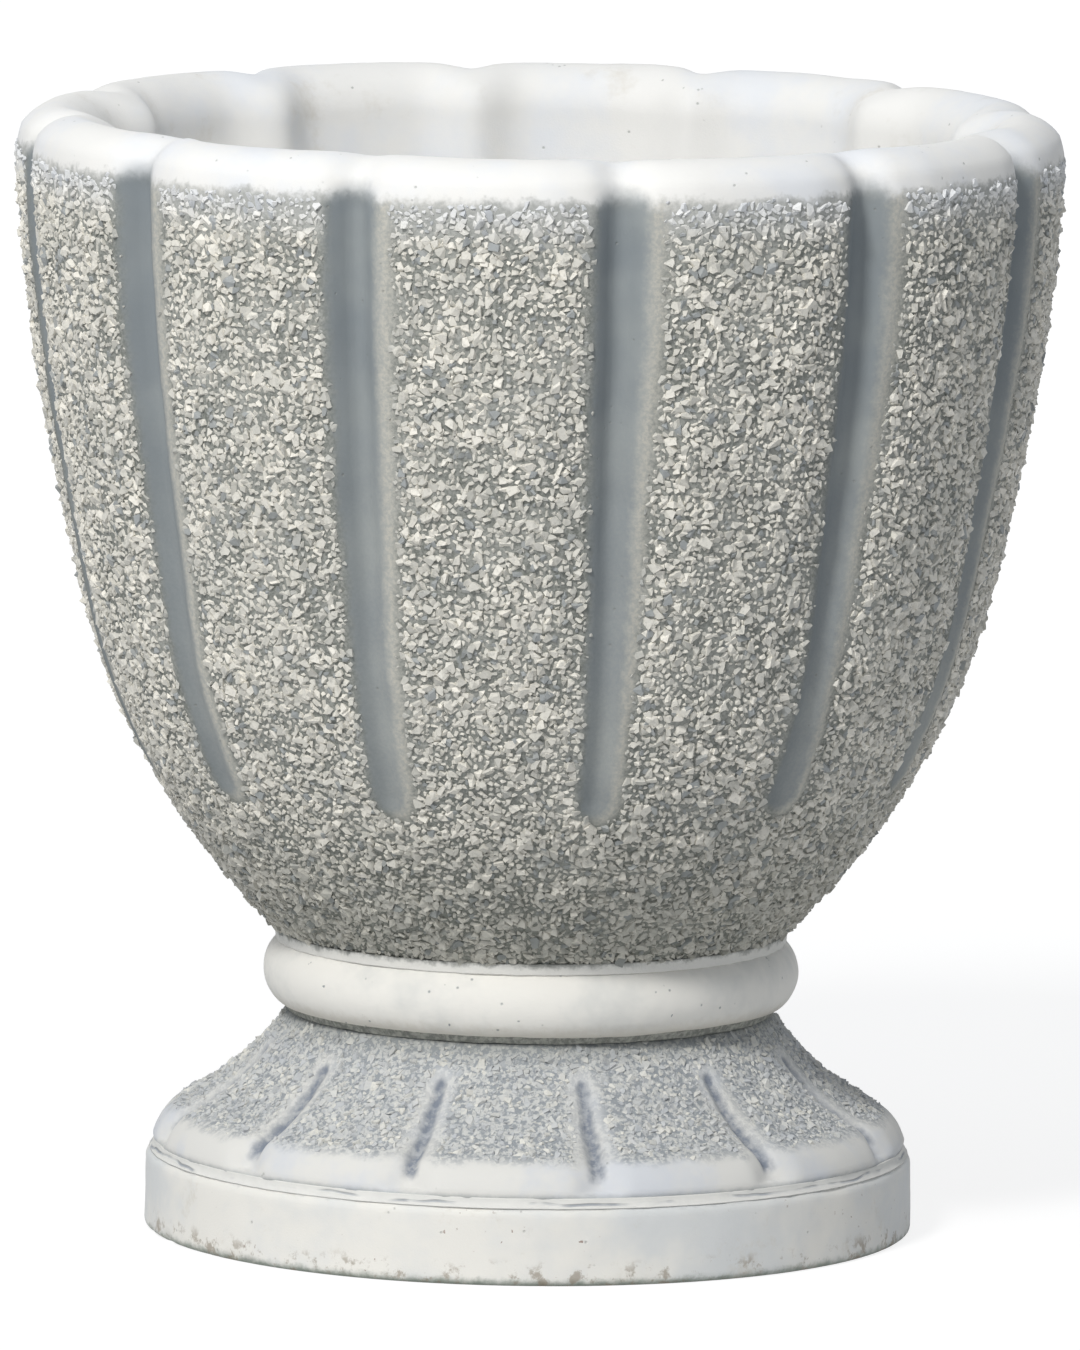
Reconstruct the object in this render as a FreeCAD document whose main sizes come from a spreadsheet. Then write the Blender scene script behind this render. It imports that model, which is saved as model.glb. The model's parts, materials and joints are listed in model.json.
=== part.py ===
import FreeCAD, Part
import math
import os
import Sketcher

# Fluted urn planter in washed concrete, set up from the floor in four castings: a plinth
# ring, a hollow foot, a collar and a bowl. Each sits on the one below in a bed of mortar,
# steel dowels locate them, and a drain tube runs from the bowl's floor into the hollow foot.
# The bent bars that reinforce the castings fill channels of their own shape.
# Millimetres, +Z up, origin on the floor at the middle of the plinth.

SIZES = {
    # Plinth ring, which stands out a step beyond the foot
    "plinth_step": 4.0,
    "plinth_height": 40.0,
    "plinth_edge": 3.0,
    # Mortar beds
    "plinth_bed": 2.0,
    "foot_bed": 4.0,
    "bowl_bed": 4.0,
    "bed_recess": 3.0,
    # Foot: its outline from the shoulder above the plinth to the neck under the collar
    "foot_height": 68.0,
    "foot_radius": 188.0,
    "foot_seat": 38.0,
    "foot_land": 2.5,
    "shoulder_step": 17.0,
    "shoulder_height": 22.0,
    "shoulder_round": 28.0,
    "neck_radius": 121.0,
    "flare_round": 150.0,
    "foot_slab": 32.0,
    "hollow_radius": 92.0,
    "foot_flute_round": 5.5,
    "foot_flute_low": 8.0,
    "foot_flute_high": 46.0,
    # Collar: a round bead between the foot and the bowl
    "collar_height": 32.0,
    "collar_radius": 134.0,
    "collar_round": 20.0,
    # Bowl: its outline from the heel through the belly to the lip, and its wall
    "heel_radius": 127.5,
    "belly_inset": 33.0,
    "belly_height": 173.0,
    "lip_radius": 262.5,
    "lip_height": 390.0,
    "low_round": 360.0,
    "high_round": 1168.0,
    "wall": 44.0,
    "bowl_floor": 40.0,
    # Flutes outside and the ribs behind them inside
    "flute_round": 13.0,
    "flute_depth": 9.0,
    "flute_low": 106.0,
    "flute_high": 384.0,
    "rib_round": 14.0,
    "rib_height": 6.0,
    "rib_low": 190.0,
    "flute_count": 12,
    # Drain tube
    "tube_radius": 21.0,
    "tube_bore": 17.5,
    "tube_drop": 6.0,
    "tube_sink": 1.0,
    # Dowels
    "dowel_radius": 5.0,
    "dowel_circle": 80.0,
    "dowel_in_foot": 18.0,
    "dowel_in_bowl": 22.0,
    "dowel_count": 3,
    "fit_gap": 0.3,
    # Reinforcing hoops, each a bar bent to straight sides
    "bar_radius": 3.0,
    "hoop_sides": 12,
    "bend_overrun": 1.0,
    "heel_hoop_height": 66.0,
    "belly_hoop_height": 210.0,
    "rim_hoop_height": 376.0,
    "foot_hoop_inset": 25.0,
    "foot_hoop_height": 14.0,
    "neck_hoop_inset": 15.0,
    "neck_hoop_height": 54.0,
    "plinth_hoop_height": 20.0,
}

doc = FreeCAD.newDocument("urn_planter")
sheet = doc.addObject("Spreadsheet::Sheet", "sizes")


class Size:
    """A length that knows both its value and the cell formula that it comes from."""

    def __init__(self, value, text=None):
        self.value = float(value)
        self.text = repr(float(value)) if text is None else text

    def joined(self, sign, other, value):
        return Size(value, f"({self.text} {sign} {as_size(other).text})")

    def __add__(self, other):
        return self.joined("+", other, self.value + as_size(other).value)

    def __sub__(self, other):
        return self.joined("-", other, self.value - as_size(other).value)

    def __mul__(self, other):
        return self.joined("*", other, self.value * as_size(other).value)

    def __truediv__(self, other):
        return self.joined("/", other, self.value / as_size(other).value)


def as_size(number):
    return number if isinstance(number, Size) else Size(number)


def fill_sheet():
    """Writes each size into its own cell and returns the sizes by name."""
    named = {}
    for row, (alias, value) in enumerate(SIZES.items(), start=1):
        sheet.set(f"A{row}", alias)
        sheet.set(f"B{row}", str(value))
        sheet.setAlias(f"B{row}", alias)
        named[alias] = Size(value, f"sizes.{alias}")
    doc.recompute()
    return named


S = fill_sheet()
ZERO = Size(0)

# Heights at which the stacked pieces stand
FOOT_LEVEL = S["plinth_height"] + S["plinth_bed"]
FOOT_TOP = FOOT_LEVEL + S["foot_height"]
COLLAR_LEVEL = FOOT_TOP + S["foot_bed"]
COLLAR_TOP = COLLAR_LEVEL + S["collar_height"]
BOWL_LEVEL = COLLAR_TOP + S["bowl_bed"]

# The foot, its bed and the plinth share one bore
BORE = S["foot_radius"] - S["foot_seat"]
PLINTH_RADIUS = S["foot_radius"] + S["plinth_step"]
DRAIN_HOLE = S["tube_radius"] + S["fit_gap"]
DOWEL_HOLE = S["dowel_radius"] + S["fit_gap"]

# The sides of the bowl's hoops pass behind the flutes in the middle of its wall
HOOP_DEPTH = S["wall"] / 2
HALF_SIDE_SLOPE = Size(math.tan(math.pi / SIZES["hoop_sides"]), "tan(180 / sizes.hoop_sides)")


# ---- Sketches and features ----


def origin_part(body, role):
    return next(f for f in body.Origin.OriginFeatures if f.Role == role)


def new_body(name, level=ZERO):
    """A body named as its file will be, standing at a level."""
    body = doc.addObject("PartDesign::Body", name)
    body.Label = name
    body.setExpression("Placement.Base.z", level.text)
    return body


class Draft:
    """A sketch whose corners, radii and distances are bound to the sheet."""

    def __init__(self, body, name, plane="XZ_Plane", raised=ZERO):
        self.sketch = body.newObject("Sketcher::SketchObject", name)
        self.sketch.AttachmentSupport = [(origin_part(body, plane), "")]
        self.sketch.MapMode = "FlatFace"
        self.sketch.setExpression("AttachmentOffset.Base.z", raised.text)
        doc.recompute()

    def line(self, start, end, guide=False):
        shape = Part.LineSegment(FreeCAD.Vector(*start), FreeCAD.Vector(*end))
        index = self.sketch.addGeometry(shape, guide)
        return (index, 1), (index, 2)

    def arc(self, start, end, centre, guide=False):
        """An arc of under a half turn, or of a half turn counted anticlockwise."""
        radius = math.dist(start, centre)
        begin, finish = (math.atan2(p[1] - centre[1], p[0] - centre[0]) for p in (start, end))
        swapped = (finish - begin) % (2 * math.pi) > math.pi + 1e-6
        if swapped:
            begin, finish = finish, begin
        circle = Part.Circle(FreeCAD.Vector(*centre), FreeCAD.Vector(0, 0, 1), radius)
        index = self.sketch.addGeometry(Part.ArcOfCircle(circle, begin, finish), guide)
        return ((index, 2), (index, 1)) if swapped else ((index, 1), (index, 2))

    def circle(self, across, up, radius):
        """A circle with its centre at a place on the sketch."""
        middle = FreeCAD.Vector(across.value, up.value)
        shape = Part.Circle(middle, FreeCAD.Vector(0, 0, 1), radius.value)
        centre = (self.sketch.addGeometry(shape, False), 3)
        self.radius(centre, radius)
        self.place(centre, across, up)

    def rule(self, kind, *parts, size=None):
        """Adds a constraint, and binds its value if it has one."""
        if size is None:
            self.sketch.addConstraint(Sketcher.Constraint(kind, *parts))
            return
        row = self.sketch.addConstraint(Sketcher.Constraint(kind, *parts, size.value))
        self.sketch.setExpression(f"Constraints[{row}]", size.text)

    def place(self, point, across=None, up=None):
        """Holds a point at a distance from the axis, a height, or both."""
        for kind, size, axis in (("DistanceX", across, -2), ("DistanceY", up, -1)):
            if size is None:
                continue
            if size.value == 0:
                self.rule("PointOnObject", *point, axis)
            else:
                self.rule(kind, -1, 1, *point, size=size)

    def radius(self, point, size):
        self.rule("Radius", point[0], size=size)

    def join(self, first, second):
        self.rule("Coincident", *first, *second)

    def share_centre(self, arc, other):
        self.join((arc[0][0], 3), (other[0][0], 3))

    def read(self, point, at, name):
        """Measures where a point comes to lie, for other features to follow."""
        found = []
        for kind, value, word in (("DistanceX", at[0], "across"), ("DistanceY", at[1], "up")):
            row = self.sketch.addConstraint(Sketcher.Constraint(kind, -1, 1, *point, value))
            self.sketch.setDriving(row, False)
            self.sketch.renameConstraint(row, f"{name}_{word}")
            found.append(Size(value, f"({self.sketch.Name}.Constraints.{name}_{word} / 1mm)"))
        return found


def arc_centre(start, end, radius, side=1):
    """The centre of the arc of this radius from start to end, on its left (1) or right (-1)."""
    half = math.dist(start, end) / 2
    back = math.sqrt(radius * radius - half * half) * side
    across = ((start[1] - end[1]) / (2 * half), (end[0] - start[0]) / (2 * half))
    return tuple((a + b) / 2 + back * n for a, b, n in zip(start, end, across))


def at_height(centre, radius, height, side=1):
    """The point of a circle at a height, on its outer (1) or inner (-1) side."""
    rise = height - centre[1]
    return centre[0] + side * math.sqrt(radius * radius - rise * rise), height


def draw_edge(draft, start, end, bend=None, guide=False):
    """A straight edge, or an arc if bend gives its radius and its centre's side."""
    if bend is None:
        return draft.line(start, end, guide)
    radius, side = bend
    edge = draft.arc(start, end, arc_centre(start, end, radius.value, side), guide)
    draft.radius(edge[0], radius)
    return edge


def closed_outline(body, name, corners, bends=()):
    """A closed outline through corners. bends gives the arcs by the number of their first
    corner."""
    draft = Draft(body, name)
    at = [(x.value, z.value) for x, z in corners]
    bends = dict(bends)
    edges = [
        draw_edge(draft, start, end, bends.get(i))
        for i, (start, end) in enumerate(zip(at, at[1:] + at[:1]))
    ]
    for edge, after, (x, z) in zip(edges, edges[1:] + edges[:1], corners):
        draft.join(edge[1], after[0])
        draft.place(edge[0], x, z)
    return draft.sketch


def revolve(body, sketch, kind="PartDesign::Revolution", axis="V_Axis"):
    feature = body.newObject(kind, f"{sketch.Name}_turned")
    feature.Profile = sketch
    feature.ReferenceAxis = (sketch, [axis])
    feature.Angle = 360
    doc.recompute()
    return feature


def cut(body, draw, what):
    """Runs a cut and makes sure that it took something away."""
    before = body.Shape.Volume
    feature = draw()
    doc.recompute()
    if body.Shape.Volume > before - 1:
        raise RuntimeError(f"{body.Label}: {what} took nothing away")
    return feature


def sink(body, sketch, depth, upwards):
    """Cuts a sketch out of a body to a depth along the sketch's normal, or against it."""
    feature = body.newObject("PartDesign::Pocket", f"{sketch.Name}_cut")
    feature.Profile = sketch
    feature.Type = "Length"
    feature.setExpression("Length", depth.text)
    feature.Reversed = upwards
    return feature


def polar(body, features, count):
    """Repeats features round the body's own upright axis."""
    pattern = body.newObject("PartDesign::PolarPattern", f"{features[0].Name}_ring")
    pattern.Originals = features
    pattern.Axis = (origin_part(body, "Z_Axis"), [""])
    pattern.Angle = 360
    pattern.setExpression("Occurrences", count.text)
    body.Tip = pattern
    doc.recompute()


def sweep(body, name, draw_path, radius, count, sign):
    """Sweeps a circle along a path, ends it with balls, and repeats it round the axis. sign
    says whether this is added to the body or taken away."""
    path = Draft(body, f"{name}_path")
    ends = draw_path(path)
    at_ends = [path.read(point, at, word) for (point, at), word in zip(ends, ("low", "high"))]
    doc.recompute()
    profile = body.newObject("Sketcher::SketchObject", f"{name}_round")
    profile.AttachmentSupport = [(path.sketch, "Edge1")]
    profile.MapMode = "NormalToEdge"
    index = profile.addGeometry(
        Part.Circle(FreeCAD.Vector(), FreeCAD.Vector(0, 0, 1), radius.value), False
    )
    profile.addConstraint(Sketcher.Constraint("Coincident", index, 3, -1, 1))
    row = profile.addConstraint(Sketcher.Constraint("Radius", index, radius.value))
    profile.setExpression(f"Constraints[{row}]", radius.text)
    doc.recompute()
    pipe = body.newObject(f"PartDesign::{sign}Pipe", name)
    pipe.Profile = profile
    pipe.Spine = (path.sketch, [])
    doc.recompute()
    balls = [
        turn_ball(body, f"{name}_{word}_end", place, radius, sign)
        for place, word in zip(at_ends, ("low", "high"))
    ]
    polar(body, [pipe, *balls], count)


def turn_ball(body, name, place, radius, sign):
    """Adds or takes away a ball, turned from a half disc about its straight side."""
    across, up = (size.value for size in place)
    below, above = ((across, up + step * radius.value) for step in (-1, 1))
    draft = Draft(body, name)
    bow = draft.arc(below, above, (across, up))
    side = draft.line(above, below)
    draft.join(bow[1], side[0])
    draft.join(side[1], bow[0])
    draft.place((bow[0][0], 3), *place)
    draft.rule("PointOnObject", bow[0][0], 3, side[0][0])
    draft.rule("Vertical", side[0][0])
    draft.radius(bow[0], radius)
    kind = {"Additive": "PartDesign::Revolution", "Subtractive": "PartDesign::Groove"}[sign]
    return revolve(body, draft.sketch, kind, axis="Edge2")


# ---- Holes, hoops and beds that several pieces share ----


def drill_dowel_holes(body, depth, level=ZERO, upwards=True):
    """Drills the ring of dowel holes from a level of the body."""
    draft = Draft(body, f"{body.Name}_dowel_hole", "XY_Plane", raised=level)
    draft.circle(S["dowel_circle"], ZERO, DOWEL_HOLE)
    hole = cut(body, lambda: sink(body, draft.sketch, depth, upwards), "the dowel hole")
    polar(body, [hole], S["dowel_count"])


def lay_sides(body, sketch, across, kind):
    """Lays the straight sides of a hoop, or of its channel, through a round of the bar drawn
    in the middle of one side. The sides run on a little past their bends."""
    side = body.newObject(kind, f"{sketch.Name}_side")
    side.Profile = sketch
    side.Type = "Length"
    half = (across + S["bar_radius"]) * HALF_SIDE_SLOPE + S["bend_overrun"]
    side.setExpression("Length", (half * 2).text)
    side.Midplane = True
    doc.recompute()
    polar(body, [side], S["hoop_sides"])


def lay_hoop(body, name, across, up, kind):
    draft = Draft(body, name)
    draft.circle(across, up, S["bar_radius"])
    lay_sides(body, draft.sketch, across, kind)


def cut_channel(body, name, across, up):
    """Cuts the channel that a hoop fills."""
    cut(body, lambda: lay_hoop(body, f"{name}_channel", across, up, "PartDesign::Pocket"), name)


def make_hoop(name, across, up, level):
    lay_hoop(new_body(name, level), f"{name}_outline", across, up, "PartDesign::Pad")


def make_bed(name, level, outer, height):
    """A disc of mortar, with holes for the drain tube and the dowels."""
    body = new_body(name, level)
    corners = [(DRAIN_HOLE, ZERO), (outer, ZERO), (outer, height), (DRAIN_HOLE, height)]
    revolve(body, closed_outline(body, f"{name}_outline", corners))
    drill_dowel_holes(body, height)


def make_ring(name, level, inner, outer, height):
    """A plain ring: a tube, or a bed of mortar under a hollow piece."""
    body = new_body(name, level)
    corners = [(inner, ZERO), (outer, ZERO), (outer, height), (inner, height)]
    revolve(body, closed_outline(body, f"{name}_outline", corners))


# ---- Plinth ----


def make_plinth():
    """A ring with softened edges, open underneath, with a channel for its hoop."""
    body = new_body("plinth")
    edge, radius, height = S["plinth_edge"], PLINTH_RADIUS, S["plinth_height"]
    corners = [
        (BORE, ZERO),
        (radius - edge, ZERO),
        (radius, edge),
        (radius, height - edge),
        (radius - edge, height),
        (BORE, height),
    ]
    bends = {1: (edge, 1), 3: (edge, 1)}
    revolve(body, closed_outline(body, "plinth_outline", corners, bends))
    cut_channel(body, "plinth_hoop", *plinth_hoop_place())


def plinth_hoop_place():
    return (PLINTH_RADIUS + BORE) / 2, S["plinth_hoop_height"]


# ---- Foot ----

FOOT_CORNERS = [
    (S["foot_radius"], ZERO),
    (S["foot_radius"], S["foot_land"]),
    (S["foot_radius"] - S["shoulder_step"], S["shoulder_height"]),
    (S["neck_radius"], S["foot_height"]),
]
FOOT_BENDS = {1: (S["shoulder_round"], 1), 2: (S["flare_round"], -1)}

FOOT_HOOPS = {
    "foot_hoop": (S["foot_radius"] - S["foot_hoop_inset"], S["foot_hoop_height"]),
    "neck_hoop": (S["neck_radius"] - S["neck_hoop_inset"], S["neck_hoop_height"]),
}


def make_foot():
    """A flared, fluted shell with a slab at its neck."""
    body = new_body("foot", FOOT_LEVEL)
    top = S["foot_height"]
    slab_under = top - S["foot_slab"]
    corners = FOOT_CORNERS + [
        (DRAIN_HOLE, top),
        (DRAIN_HOLE, slab_under),
        (S["hollow_radius"], slab_under),
        (BORE, ZERO),
    ]
    revolve(body, closed_outline(body, "foot_outline", corners, FOOT_BENDS))
    for name, place in FOOT_HOOPS.items():
        cut_channel(body, name, *place)
    cut(body, lambda: cut_foot_flutes(body), "the flutes")
    drill_dowel_holes(body, S["dowel_in_foot"] + S["fit_gap"], level=top, upwards=False)


def cut_foot_flutes(body):
    sweep(body, "foot_flute", draw_foot_flute, S["foot_flute_round"], S["flute_count"], "Subtractive")


def draw_foot_flute(draft):
    """A straight line between two points of the outline, one on the shoulder and one on the
    flare."""
    corners = [(x.value, z.value) for x, z in FOOT_CORNERS]
    low, high = S["foot_flute_low"], S["foot_flute_high"]
    centres = [
        arc_centre(corners[i], corners[i + 1], radius.value, side)
        for i, (radius, side) in FOOT_BENDS.items()
    ]
    start = at_height(centres[0], S["shoulder_round"].value, low.value)
    end = at_height(centres[1], S["flare_round"].value, high.value, side=-1)
    path = draft.line(end, start)
    edges = []
    for i, bend in FOOT_BENDS.items():
        edge = draw_edge(draft, corners[i], corners[i + 1], bend, guide=True)
        draft.place(edge[0], *FOOT_CORNERS[i])
        draft.place(edge[1], *FOOT_CORNERS[i + 1])
        edges.append(edge)
    draft.rule("PointOnObject", *path[1], edges[0][0][0])
    draft.rule("PointOnObject", *path[0], edges[1][0][0])
    draft.place(path[1], up=low)
    draft.place(path[0], up=high)
    return (path[1], start), (path[0], end)


# ---- Collar ----


def make_collar():
    """A round bead with flat seats above and below."""
    body = new_body("collar", COLLAR_LEVEL)
    height, round_ = S["collar_height"], S["collar_round"]
    middle = (S["collar_radius"] - round_, height / 2)
    at_middle = (middle[0].value, middle[1].value)
    seat = at_height(at_middle, round_.value, 0)
    top_seat = (seat[0], height.value)
    hole, top_hole = (DRAIN_HOLE.value, 0), (DRAIN_HOLE.value, height.value)
    draft = Draft(body, "collar_outline")
    under = draft.line(hole, seat)
    bead = draft.arc(seat, top_seat, at_middle)
    over = draft.line(top_seat, top_hole)
    side = draft.line(top_hole, hole)
    for edge, after in ((under, bead), (bead, over), (over, side), (side, under)):
        draft.join(edge[1], after[0])
    draft.place(under[0], DRAIN_HOLE, ZERO)
    draft.place(side[0], DRAIN_HOLE, height)
    draft.rule("PointOnObject", *bead[0], -1)
    draft.rule("Horizontal", *over[0], *over[1])
    draft.place((bead[0][0], 3), *middle)
    draft.radius(bead[0], round_)
    revolve(body, draft.sketch)
    drill_dowel_holes(body, height)


# ---- Bowl ----

WALL_CORNERS = [
    (S["heel_radius"], ZERO),
    (S["lip_radius"] - S["belly_inset"], S["belly_height"]),
    (S["lip_radius"], S["lip_height"]),
]
AT_HEEL, AT_BELLY, AT_LIP = ((x.value, z.value) for x, z in WALL_CORNERS)
LOW_CENTRE = arc_centre(AT_HEEL, AT_BELLY, S["low_round"].value)
HIGH_CENTRE = arc_centre(AT_BELLY, AT_LIP, S["high_round"].value)


class WallOutline:
    """The bowl's outer outline, and lines under it that follow it at a depth."""

    def __init__(self, draft, guide=True):
        self.draft = draft
        self.low = draw_edge(draft, AT_HEEL, AT_BELLY, (S["low_round"], 1), guide)
        self.high = draw_edge(draft, AT_BELLY, AT_LIP, (S["high_round"], 1), guide)
        draft.join(self.low[1], self.high[0])
        for point, corner in zip((self.low[0], self.low[1], self.high[1]), WALL_CORNERS):
            draft.place(point, *corner)

    def follow_high(self, depth, bottom, top):
        """One arc under the upper outline, carried down and up to the given heights."""
        radius = S["high_round"] - depth
        start, end = (at_height(HIGH_CENTRE, radius.value, z.value) for z in (bottom, top))
        arc = self.draft.arc(start, end, HIGH_CENTRE)
        self.draft.share_centre(arc, self.high)
        self.draft.radius(arc[0], radius)
        self.draft.place(arc[0], up=bottom)
        self.draft.place(arc[1], up=top)
        return (arc[0], start), (arc[1], end)

    def follow_both(self, depth, bottom, top):
        """Two arcs under the whole outline, which meet opposite the belly."""
        draft = self.draft
        share = depth.value / S["low_round"].value
        meet = tuple(b + (c - b) * share for b, c in zip(AT_BELLY, LOW_CENTRE))
        start = at_height(LOW_CENTRE, math.dist(meet, LOW_CENTRE), bottom.value)
        end = at_height(HIGH_CENTRE, math.dist(meet, HIGH_CENTRE), top.value)
        low = draft.arc(start, meet, LOW_CENTRE)
        high = draft.arc(meet, end, HIGH_CENTRE)
        draft.join(low[1], high[0])
        draft.share_centre(low, self.low)
        draft.share_centre(high, self.high)
        draft.radius(low[0], S["low_round"] - depth)
        ray = draft.line(LOW_CENTRE, AT_BELLY, guide=True)
        draft.join(ray[0], (self.low[0][0], 3))
        draft.join(ray[1], self.low[1])
        draft.rule("PointOnObject", *low[1], ray[0][0])
        draft.place(low[0], up=bottom)
        draft.place(high[1], up=top)
        return (low[0], start), (high[1], end)


def make_bowl():
    """The round bowl with its flutes, ribs, drain, dowel holes and hoop channels."""
    body = new_body("bowl", BOWL_LEVEL)
    revolve(body, draw_bowl(body))
    sweep(body, "rib", draw_rib, S["rib_round"], S["flute_count"], "Additive")
    cut(body, lambda: cut_flutes(body), "the flutes")
    for name, height in BOWL_HOOPS.items():
        cut(body, lambda: follow_hoop(body, height, f"{name}_channel", "PartDesign::Pocket"), name)
    drill_dowel_holes(body, S["dowel_in_bowl"] + S["fit_gap"])


def draw_bowl(body):
    """Half of the bowl's section: the wall, a round rim, the inside and the flat floor."""
    draft = Draft(body, "bowl_outline")
    wall = WallOutline(draft, guide=False)
    inside, lip_inside = wall.follow_both(S["wall"], S["bowl_floor"], S["lip_height"])
    crown = ((AT_LIP[0] + lip_inside[1][0]) / 2, AT_LIP[1])
    rim = draft.arc(AT_LIP, lip_inside[1], crown)
    floor_hole = (DRAIN_HOLE.value, S["bowl_floor"].value)
    foot_hole = (DRAIN_HOLE.value, 0)
    floor = draft.line(inside[1], floor_hole)
    bore = draft.line(floor_hole, foot_hole)
    heel = draft.line(foot_hole, AT_HEEL)
    draft.join(wall.high[1], rim[0])
    draft.join(rim[1], lip_inside[0])
    draft.place((rim[0][0], 3), up=S["lip_height"])
    draft.join(inside[0], floor[0])
    draft.join(floor[1], bore[0])
    draft.join(bore[1], heel[0])
    draft.join(heel[1], wall.low[0])
    draft.place(bore[0], DRAIN_HOLE, S["bowl_floor"])
    draft.place(bore[1], DRAIN_HOLE, ZERO)
    return draft.sketch


def draw_flute(draft):
    """The middle of a flute's round. It runs out of the wall as the belly turns in."""
    outside = S["flute_depth"] - S["flute_round"]
    return WallOutline(draft).follow_high(outside, S["flute_low"], S["flute_high"])


def cut_flutes(body):
    sweep(body, "flute", draw_flute, S["flute_round"], S["flute_count"], "Subtractive")


def draw_rib(draft):
    """The middle of a rib's round, inside the wall behind each flute."""
    depth = S["wall"] + S["rib_height"] - S["rib_round"]
    return WallOutline(draft).follow_high(depth, S["rib_low"], S["lip_height"])


BOWL_HOOPS = {
    "heel_hoop": S["heel_hoop_height"],
    "belly_hoop": S["belly_hoop_height"],
    "rim_hoop": S["rim_hoop_height"],
}


def follow_hoop(body, height, name, kind):
    """Lays a hoop, or its channel, at a height in the middle of the wall."""
    on_high = height.value > AT_BELLY[1]
    centre = HIGH_CENTRE if on_high else LOW_CENTRE
    radius = S["high_round" if on_high else "low_round"] - HOOP_DEPTH
    middle = at_height(centre, radius.value, height.value)
    draft = Draft(body, name)
    wall = WallOutline(draft)
    bar = Part.Circle(FreeCAD.Vector(*middle), FreeCAD.Vector(0, 0, 1), S["bar_radius"].value)
    bar = (draft.sketch.addGeometry(bar, False), 3)
    draft.radius(bar, S["bar_radius"])
    draft.place(bar, up=height)
    ray = draft.line(centre, middle, guide=True)
    draft.join(ray[0], ((wall.high if on_high else wall.low)[0][0], 3))
    draft.join(ray[1], bar)
    draft.rule("Distance", *ray[0], *ray[1], size=radius)
    across, _ = draft.read(bar, middle, "side")
    lay_sides(body, draft.sketch, across, kind)


# ---- The whole urn ----


def make_dowels():
    """Steel dowels that pass from the foot through the collar into the bowl."""
    low = FOOT_TOP - S["dowel_in_foot"]
    body = new_body("dowels", low)
    draft = Draft(body, "dowel_round", "XY_Plane")
    draft.circle(S["dowel_circle"], ZERO, S["dowel_radius"])
    pad = body.newObject("PartDesign::Pad", "dowel")
    pad.Profile = draft.sketch
    pad.setExpression("Length", (BOWL_LEVEL + S["dowel_in_bowl"] - low).text)
    doc.recompute()
    polar(body, [pad], S["dowel_count"])


def make_bars():
    make_hoop("plinth_hoop", *plinth_hoop_place(), ZERO)
    for name, place in FOOT_HOOPS.items():
        make_hoop(name, *place, FOOT_LEVEL)
    for name, height in BOWL_HOOPS.items():
        body = new_body(name, BOWL_LEVEL)
        follow_hoop(body, height, f"{name}_outline", "PartDesign::Pad")


def main():
    make_plinth()
    bed_edge = S["foot_radius"] - S["bed_recess"]
    make_ring("plinth_mortar", S["plinth_height"], BORE, bed_edge, S["plinth_bed"])
    make_foot()
    make_bed("foot_mortar", FOOT_TOP, S["neck_radius"] - S["bed_recess"], S["foot_bed"])
    make_collar()
    make_bed("bowl_mortar", COLLAR_TOP, S["heel_radius"] - S["bed_recess"], S["bowl_bed"])
    make_bowl()
    tube_low = FOOT_TOP - S["foot_slab"] - S["tube_drop"]
    tube_length = BOWL_LEVEL + S["bowl_floor"] - S["tube_sink"] - tube_low
    make_ring("drain_tube", tube_low, S["tube_bore"], S["tube_radius"], tube_length)
    make_dowels()
    make_bars()
    doc.recompute()
    write_parts()


def write_parts():
    """Checks every object and writes each body's solids to its own file."""
    failed = [o.Label for o in doc.Objects if {"Invalid", "Error"} & set(o.State)]
    if failed:
        raise RuntimeError(f"these objects failed: {failed}")
    os.makedirs("parts", exist_ok=True)
    for body in doc.findObjects("PartDesign::Body"):
        if body.Shape.isNull() or not body.Shape.isValid():
            raise RuntimeError(f"{body.Label} has no valid shape")
        body.Shape.exportStep(f"parts/{body.Label}.step")
        box = body.Shape.optimalBoundingBox(False)
        print(
            f"{body.Label:14} solids {len(body.Shape.Solids):2}  volume {body.Shape.Volume / 1000:9.1f} cm3"
            f"  z {box.ZMin:7.2f} to {box.ZMax:7.2f}  x {box.XMin:7.2f} to {box.XMax:7.2f}"
        )


main()
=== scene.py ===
import json
import math
import random
import bpy
from mathutils import Matrix, Vector

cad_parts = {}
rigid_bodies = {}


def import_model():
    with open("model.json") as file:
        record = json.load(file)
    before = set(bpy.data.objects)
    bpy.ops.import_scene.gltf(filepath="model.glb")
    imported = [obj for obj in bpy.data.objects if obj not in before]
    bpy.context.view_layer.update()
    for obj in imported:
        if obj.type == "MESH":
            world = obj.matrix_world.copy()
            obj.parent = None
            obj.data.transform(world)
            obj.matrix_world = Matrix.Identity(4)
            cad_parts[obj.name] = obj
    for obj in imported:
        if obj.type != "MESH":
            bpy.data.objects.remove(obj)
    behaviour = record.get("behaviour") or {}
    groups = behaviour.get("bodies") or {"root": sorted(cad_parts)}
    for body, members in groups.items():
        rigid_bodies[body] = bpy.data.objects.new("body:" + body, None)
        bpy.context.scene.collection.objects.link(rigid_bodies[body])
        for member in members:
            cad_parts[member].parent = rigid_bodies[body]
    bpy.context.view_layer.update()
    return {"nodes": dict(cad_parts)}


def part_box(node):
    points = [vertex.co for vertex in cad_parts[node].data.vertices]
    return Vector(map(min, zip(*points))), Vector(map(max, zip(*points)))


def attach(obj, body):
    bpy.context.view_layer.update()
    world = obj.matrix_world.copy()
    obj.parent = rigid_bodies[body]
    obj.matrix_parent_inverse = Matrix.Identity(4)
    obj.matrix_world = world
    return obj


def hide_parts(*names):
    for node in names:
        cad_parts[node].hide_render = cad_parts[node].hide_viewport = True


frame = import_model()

# A fluted urn planter in washed concrete: the castings get their lobes, flutes and rounded
# rim, the washed faces get their broken marble chips, and every casting its cement finish.

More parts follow.
